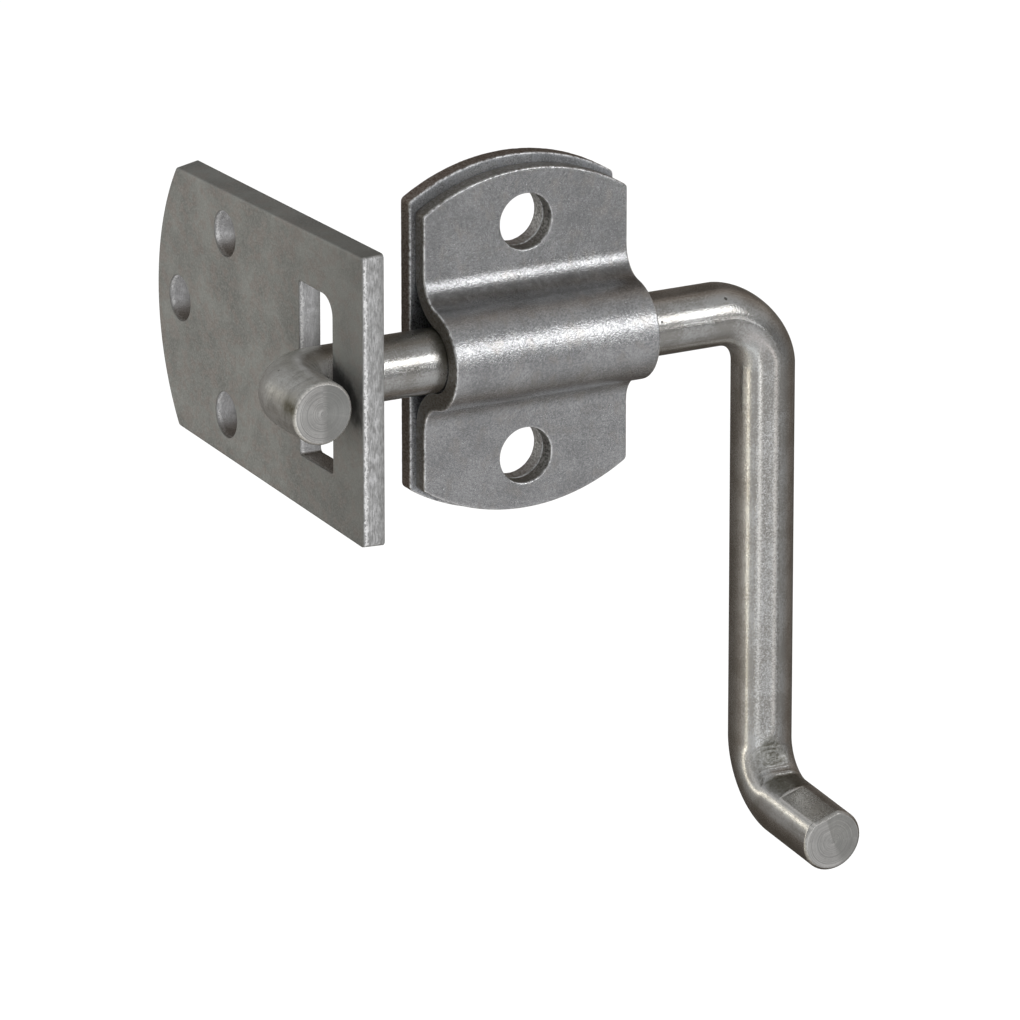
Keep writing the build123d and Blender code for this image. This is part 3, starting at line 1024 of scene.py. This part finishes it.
    def press_grip(self, out):
        """Flat along the grip, from its step out to the cut face."""
        settings = self.settings
        step = soft_step(settings.grip_step - 0.15 * MM, settings.grip_step + 0.15 * MM, out)
        if step > 0:
            from_edge = self.press(settings.grip_press, 0.03 * MM, (1 - step) * settings.grip_press)
            if self.angle > self.facing:
                # Painted highlight along the flat's edge
                self.mark("arris", step * fade(from_edge, 0.3 * MM))
            on_flat = step * (1 - soft_step(-0.4 * MM, 0, from_edge))
            beside = 1 - soft_step(settings.grip_step, settings.grip_step + 0.7 * MM, out)
            # Painted light on the wall of the grip's step, which faces the user
            self.mark("arris", 0.8 * on_flat * beside)
            self.mark("scuffed", 0.06 * on_flat)
            self.mark("film", 0.25 * on_flat * (1 - beside))

    def shape(self, grip_corner, grip_way):
        """All that was done to the bar at this point."""
        part, below = self.part, self.below
        out = (self.station.middle - grip_corner).dot(grip_way)
        self.thin_bends()
        if part == "shaft":
            self.shade_shaft()
        if part in ("hook", "hook_bend"):
            self.crease_hook()
        if part in ("handle", "handle_bend", "grip_bend") and below > 0:
            self.press_handle()
        if (part in ("handle", "grip_bend")
                and below > self.settings.handle_drop - self.settings.handle_press_foot - 4 * MM):
            self.pit_pin_place()
        if part == "grip_bend":
            self.press_pin_land()
        self.raise_ridges()
        if part in ("grip_bend", "grip"):
            self.hollow_grip(out)
        if part == "grip":
            self.press_grip(out)
        if part in ("handle", "grip_bend", "grip"):
            self.mark("smooth", between(self.angle, *map(radians, (134, 140, 165, 190)))
                      * (0.5 + 0.5 * soft_step(70 * MM, 100 * MM, below)))


class LATCH_OT_bar(Operator):
    """Build the bar with its hook, shaft, handle and grip"""
    bl_idname = "latch.bar"
    bl_label = "Bar"

    def execute(self, context):
        settings = context.scene.latch_bar
        radius, chamfer, around = settings.radius, settings.chamfer, 144
        hook_x, handle_x = bar_low.x + radius, bar_high.x - radius
        corners = [Vector(spot) for spot in (
            (hook_x, bar_y - settings.hook_reach, 0), (hook_x, bar_y, 0), (handle_x, bar_y, 0),
            (handle_x, bar_y, -settings.handle_drop),
            (handle_x, bar_y - settings.grip_reach, -settings.handle_drop - settings.grip_droop))]
        radii = [radius + bend for bend in (settings.hook_bend, settings.handle_bend, settings.grip_bend)]
        stations = bar_stations(corners, radii, {
            "hook": 0.9 * MM, "hook_bend": 0.5 * MM, "shaft": 1.6 * MM, "handle_bend": 0.45 * MM,
            "handle": 0.9 * MM, "grip_bend": 0.3 * MM, "grip": 0.3 * MM})
        grip_way = (corners[4] - corners[3]).normalized()
        grip_bend_run = next(station.run for station in stations if station.part == "grip_bend")
        points, faces, flat, rings, outward = [], [], [], [], {}
        marks = {name: [] for name in BAR_MARKS}

        def ring(station, inset, ahead, rubbed):
            """Adds one ring, drawn in by inset and moved ahead along the bar."""
            rings.append((len(points), station.run + ahead))
            middle = station.middle + station.ahead * ahead
            for column in range(around):
                skin = Skin(station, 2 * pi * column / around, settings, grip_bend_run)
                skin.shape(corners[3], grip_way)
                skin.mark("arris", rubbed)
                points.append(middle + (station.up * cos(skin.angle) + station.side * sin(skin.angle))
                              * (skin.reach - inset))
                for name, value in skin.marks.items():
                    marks[name].append(value)

        def face(*corners):
            """Adds one face. Each corner has its point, its column round the bar, and its place along the
            bar or out from the middle of an end."""
            faces.append([number for number, _, _ in corners])
            for _, column, along in corners:
                flat.extend((column * 2 * pi * radius / around, along))

        for station in stations:
            from_end = min(station.run, stations[-1].run - station.run)
            if from_end == 0:
                # The chamfer's outer rings carry the arris mark: a painted highlight, stronger at the hook's
                # end
                sign, rubbed = (1, 0.9) if station.run == 0 else (-1, 0.4)
                broken_edge = [(chamfer, 0, rubbed), (chamfer - 0.08 * MM, 0.07 * MM, rubbed),
                               (0.1 * MM, chamfer - 0.09 * MM, 0), (0.02 * MM, chamfer + 0.05 * MM, 0),
                               (0, chamfer + 0.3 * MM, 0)]
                for inset, along, share in broken_edge[::sign]:
                    ring(station, inset, along * sign, share)
            elif from_end > chamfer + 0.35 * MM:
                ring(station, 0, 0, 0)
        for (a, run_a), (b, run_b) in zip(rings, rings[1:]):
            for i in range(around):
                j = (i + 1) % around
                face((a + i, i, run_a), (a + j, i + 1, run_a), (b + j, i + 1, run_b), (b + i, i, run_b))
        side_faces = len(faces)
        shrunk = (1, 0.985, 0.9, 0.78, 0.64, 0.5, 0.36, 0.22, 0.1, 0)
        for station, (previous, _), order in ((stations[0], rings[0], 1), (stations[-1], rings[-1], -1)):
            rim_points, side_points = points[previous:previous + around], len(points)
            for outer, inner in zip(shrunk, shrunk[1:]):
                first = len(points)
                points += [station.middle + (spot - station.middle) * inner
                           for spot in (rim_points if inner else rim_points[:1])]
                for i in range(around):
                    j = (i + 1) % around
                    inside = ([(first + i, i, inner * radius), (first + j, i + 1, inner * radius)] if inner
                              else [(first, i + 0.5, 0)])
                    face(*[(previous + i, i, outer * radius), *inside,
                           (previous + j, i + 1, outer * radius)][::order])
                previous = first
            outward.update((number, -order * station.ahead) for number in range(side_points, len(points)))
        for values in marks.values():
            values += [0.0] * len(outward)
        mesh = new_mesh("bent_bar", points, faces, marks)
        mesh.uv_layers.new(name="along_bar").data.foreach_set("uv", flat)
        mesh.normals_split_custom_set_from_vertices([
            tuple(outward.get(number, normal.vector)) for number, normal in enumerate(mesh.vertex_normals)])
        on_end = [int(number >= side_faces) for number in range(len(faces))]
        mesh.polygons.foreach_set("material_index", on_end)
        add_piece("bent_bar", mesh, "latch_rod", "bar", "drawn_bar", drawn_bar(settings), sawn_end(settings))
        return {"FINISHED"}


# Stage

def direction(azimuth, elevation):
    """Unit vector: azimuth 0 towards the user, 90 towards the handle's side, elevation above the horizon."""
    a, e = radians(azimuth), radians(elevation)
    return Vector((sin(a) * cos(e), -cos(a) * cos(e), sin(e)))


def aim(name, data, spot, away, azimuth, elevation, lean=0):
    """Places a light or camera this far away from a spot, facing it."""
    thing = bpy.data.objects.new(name, data)
    back = direction(azimuth, elevation)
    thing.location = spot + back * away
    thing.rotation_mode = "QUATERNION"
    thing.rotation_quaternion = back.to_track_quat("Z", "Y") @ Quaternion((0, 0, 1), radians(lean))
    bpy.context.scene.collection.objects.link(thing)
    return thing


class LATCH_OT_stage(Operator):
    """Build the floor, the soft lights, the room and the camera"""
    bl_idname = "latch.stage"
    bl_label = "Stage"

    def execute(self, context):
        settings = context.scene.latch_stage
        context.scene.view_settings.view_transform = "Standard"
        self.floor(settings)
        self.room(context.scene, settings)
        self.soft_box("key_light", settings.key, 30, 24.5, 0.62, 0.50)
        self.soft_box("long_strip", settings.strip, -6, 0, 1.4, 0.18, lean=32)
        self.soft_box("bend_strip", settings.bend, 33, -1, 0.20, 0.14, lean=-50)
        self.soft_box("rear_strip", settings.rear, -111.7, -0.9, 2.35, 0.11, lean=-29.5, tint=(1, 0.94, 0.80))
        self.camera(context.scene)
        return {"FINISHED"}

    @staticmethod
    def floor(settings):
        """Wide pale disc below the latch, which the steel doesn't mirror."""
        ring_count, around, radius, drop = 12, 96, 7, 0.32
        points, faces = [(0, 0, 0)], []
        for ring in range(1, ring_count + 1):
            reach = radius * (ring / ring_count) ** 1.5
            points += [(reach * cos(2 * pi * i / around), reach * sin(2 * pi * i / around), 0)
                       for i in range(around)]
        faces += [(0, 1 + i, 1 + (i + 1) % around) for i in range(around)]
        for ring in range(ring_count - 1):
            a, b = 1 + ring * around, 1 + (ring + 1) * around
            faces += [(a + i, b + i, b + (i + 1) % around, a + (i + 1) % around) for i in range(around)]
        mesh = bpy.data.meshes.new("floor")
        mesh.from_pydata(points, [], faces)
        floor = bpy.data.objects.new("floor", mesh)
        floor.location.z = cad_low.z - drop
        bpy.context.scene.collection.objects.link(floor)
        material = bpy.data.materials.new("pale_floor")
        material.use_nodes = True
        shader = material.node_tree.nodes["Principled BSDF"]
        shader.inputs["Base Color"].default_value = (*settings.floor, 1)
        shader.inputs["Roughness"].default_value = 1
        shader.inputs["Specular IOR Level"].default_value = 0
        mesh.materials.append(material)
        floor.visible_glossy = False

    @staticmethod
    def room(scene, settings):
        """White to the camera and to the floor. In the steel, a room whose low half is light in front of the
        latch, with narrow lights, and whose high half is light behind its left shoulder."""
        world = bpy.data.worlds.new("room")
        scene.world = world
        world.use_nodes = True
        world.cycles.sampling_method = "NONE"
        world.node_tree.nodes.clear()
        node = partial(add_node, world.node_tree)
        where = node("SeparateXYZ", {0: node("TexCoord").outputs["Generated"]}).outputs
        away = node("Math", {0: where["Y"], 1: -1.0}, operation="MULTIPLY").outputs[0]
        turned = node("Math", {0: where["X"], 1: away}, operation="ARCTAN2").outputs[0]
        round_room = node("MapRange", {0: turned, 1: -pi, 2: pi}).outputs[0]

        def sweep(*runs):
            """Brightness round the room. Each run has a tint, and stops of an azimuth in degrees, from the
            user's side towards the handle's side, and a brightness."""
            ramp = node("ValToRGB", {"Fac": round_room})
            stops = ramp.color_ramp.elements
            for tint, *run in runs:
                for azimuth, brightness in run:
                    colour = (brightness * settings.room * part for part in tint)
                    stops.new(azimuth / 360 + 0.5).color = (*colour, 1)
            stops.remove(stops[0])
            stops.remove(stops[-1])
            return ramp.outputs["Color"]

        def rise(start, end):
            return node("MapRange", {0: where["Z"], 1: start, 2: end},
                        interpolation_type="SMOOTHSTEP").outputs[0]

        def mix(share, a, b):
            return node("Mix", {0: share, 6: a, 7: b}, data_type="RGBA").outputs[2]

        dusk, white = (1, 0.87, 0.76), (1, 1, 1)
        low = sweep(
            (dusk, (-179, 0.10), (-135, 0.15), (-108, 0.24)), ((1, 0.93, 0.84), (-95, 0.34)),
            ((1, 0.94, 0.86), (-83, 0.46)), ((1, 0.95, 0.82), (-80.5, 1.25), (-76.5, 1.25)),
            (white, (-74, 0.5), (-58, 0.50), (-45, 0.54)), ((0.95, 0.98, 1), (-37, 1.2), (-30, 1.2)),
            (white, (-26, 0.55), (-10, 0.42), (5, 0.44)), ((1, 0.93, 0.93), (9, 0.85), (14, 0.85)),
            (white, (18, 0.46), (36, 0.46), (50, 0.31)), ((1, 0.97, 0.94), (62, 0.27)),
            (dusk, (85, 0.18), (108, 0.13), (150, 0.07), (179, 0.10)))
        band = sweep(
            (dusk, (-179, 0.14)), (white, (-100, 0.40), (-40, 0.6), (-10, 0.48), (10, 0.20), (60, 0.17)),
            (dusk, (100, 0.14), (179, 0.14)))
        high = sweep(
            (white, (-179, 0.32), (-150, 0.42), (-110, 0.44), (-60, 0.42), (0, 0.42), (60, 0.36)),
            (dusk, (110, 0.26), (132, 0.09), (160, 0.12)), (white, (179, 0.32)))
        light = mix(rise(-0.02, 0.30), mix(rise(-0.30, -0.20), low, band), high)
        path = node("LightPath").outputs
        rays = {0: path["Is Camera Ray"], 1: path["Is Diffuse Ray"]}
        seen = node("Math", rays, operation="MAXIMUM").outputs[0]
        in_steel = node("Background", {"Color": light}).outputs[0]
        plain = node("Background", {"Color": (1, 1, 1, 1), "Strength": 1.1}).outputs[0]
        chosen = node("MixShader", {0: seen, 1: in_steel, 2: plain}).outputs[0]
        node("OutputWorld", {"Surface": chosen})

    @staticmethod
    def soft_box(name, brightness, azimuth, elevation, width, height, lean=0, tint=(1, 1, 1)):
        """Rectangular light that faces the latch, with its brightness given as seen in a mirror."""
        light = bpy.data.lights.new(name, "AREA")
        light.shape = "RECTANGLE"
        light.size, light.size_y = width, height
        light.energy = brightness * pi * width * height
        light.color = tint
        latch_middle, away = Vector((0, bar_y, -30 * MM)), 1.5
        aim(name, light, latch_middle, away, azimuth, elevation, lean)

    @staticmethod
    def camera(scene):
        """Long lens at the photo's angle."""
        camera = bpy.data.cameras.new("camera")
        camera.lens, camera.sensor_width = 362.15, 36
        camera.clip_start, camera.clip_end = 0.5, 30
        picture_middle, away = Vector((-6.75 * MM, bar_y, -41.89 * MM)), 2519.7 * MM
        scene.camera = aim("camera", camera, picture_middle, away, azimuth=-28.44, elevation=18.50)


class LATCH_PT_pieces(Panel):
    """Sizes and colours of the latch, and a button for each piece"""
    bl_idname = "LATCH_PT_pieces"
    bl_label = "Gate latch"
    bl_space_type = "VIEW_3D"
    bl_region_type = "UI"
    bl_category = "Latch"

    def draw(self, context):
        for operator, group in PIECES:
            box = self.layout.box()
            box.operator(operator.bl_idname)
            settings = getattr(context.scene, group)
            for name in settings.bl_rna.properties.keys():
                if name not in ("rna_type", "name"):
                    box.prop(settings, name)


GROUPS = {"latch_backing": BackingSettings, "latch_strap": StrapSettings, "latch_bar": BarSettings,
          "latch_keeper": KeeperSettings, "latch_stage": StageSettings}
PIECES = ((LATCH_OT_backing, "latch_backing"), (LATCH_OT_strap, "latch_strap"), (LATCH_OT_bar, "latch_bar"),
          (LATCH_OT_keeper, "latch_keeper"), (LATCH_OT_stage, "latch_stage"))
CLASSES = (*GROUPS.values(), *(operator for operator, _ in PIECES), LATCH_PT_pieces)


def register():
    for kind in CLASSES:
        bpy.utils.register_class(kind)
    for name, group in GROUPS.items():
        setattr(bpy.types.Scene, name, PointerProperty(type=group))


def unregister():
    for name in GROUPS:
        delattr(bpy.types.Scene, name)
    for kind in reversed(CLASSES):
        bpy.utils.unregister_class(kind)


def main():
    register()
    bpy.ops.latch.backing()
    bpy.ops.latch.strap()
    bpy.ops.latch.bar()
    bpy.ops.latch.keeper()
    bpy.ops.latch.stage()


if __name__ == "__main__":
    main()
